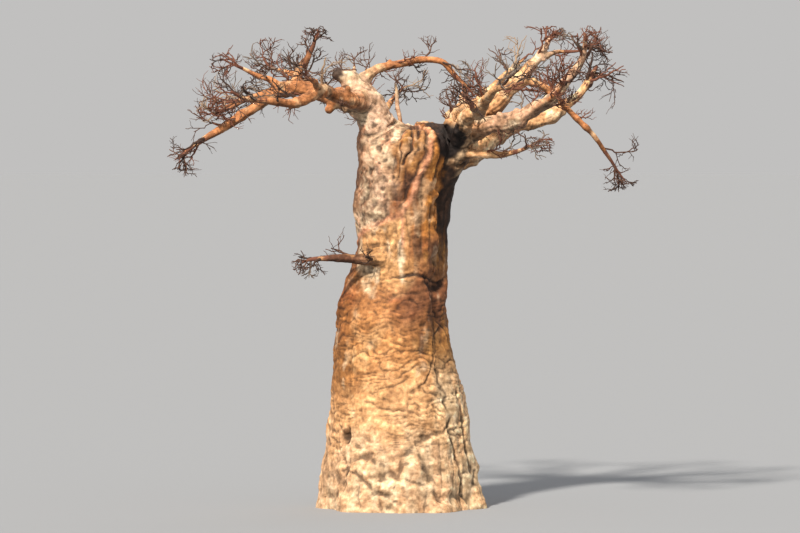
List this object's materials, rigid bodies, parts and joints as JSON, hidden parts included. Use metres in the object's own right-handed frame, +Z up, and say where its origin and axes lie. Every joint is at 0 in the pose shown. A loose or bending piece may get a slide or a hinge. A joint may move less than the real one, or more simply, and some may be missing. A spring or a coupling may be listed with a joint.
{
  "type": "baobab tree",
  "caption": "Bare baobab tree: a swollen bottle-shaped trunk that widens to a forked head, crooked boughs all round and leafless twig masses.",
  "frame": {"origin": "in the flat cut at ground level, under the trunk, at the mount named ground", "axes": "+Z up, +X to the right and +Y away in the front view, which is the picture's view"},
  "size_m": [9.7714, 8.715, 9.9969],
  "materials": {
    "trunk_bark": "rough bark",
    "pale_bark": "rough bark",
    "bough_bark": "rough bark",
    "twigs": "matte"
  },
  "bodies": {
    "root": {"crotch_stick": "bough_bark", "front_bough": "bough_bark", "front_spur": "bough_bark", "front_spur_twigs": "twigs", "front_twigs": "twigs", "left_arch": "bough_bark", "left_arch_twigs": "twigs", "left_fork": "pale_bark", "left_front_bough": "bough_bark", "left_front_spur": "bough_bark", "left_front_spur_twigs": "twigs", "left_front_twigs": "twigs", "left_knob": "pale_bark", "left_rear_bough": "bough_bark", "left_rear_spur": "bough_bark", "left_rear_spur_twigs": "twigs", "left_rear_twigs": "twigs", "left_side_spur": "bough_bark", "left_side_spur_twigs": "twigs", "left_spire": "bough_bark", "left_spire_twigs": "twigs", "left_spur": "bough_bark", "left_spur_twigs": "twigs", "low_left_bough": "bough_bark", "low_left_twigs": "twigs", "rear_bough": "bough_bark", "rear_spur": "bough_bark", "rear_spur_twigs": "twigs", "rear_twigs": "twigs", "right_back_bough": "bough_bark", "right_back_spur": "bough_bark", "right_back_spur_twigs": "twigs", "right_back_twigs": "twigs", "right_bough": "bough_bark", "right_drooper": "bough_bark", "right_drooper_twigs": "twigs", "right_front_bough": "bough_bark", "right_front_spur": "bough_bark", "right_front_spur_twigs": "twigs", "right_front_twigs": "twigs", "right_low_bough": "bough_bark", "right_low_twigs": "twigs", "right_out_spur": "bough_bark", "right_out_spur_twigs": "twigs", "right_rear_bough": "bough_bark", "right_rear_spur": "bough_bark", "right_rear_spur_twigs": "twigs", "right_rear_twigs": "twigs", "right_upper_bough": "bough_bark", "right_upper_twigs": "twigs", "top_arch": "bough_bark", "top_arch_twigs": "twigs", "trunk": "trunk_bark"}
  },
  "joints": []
}
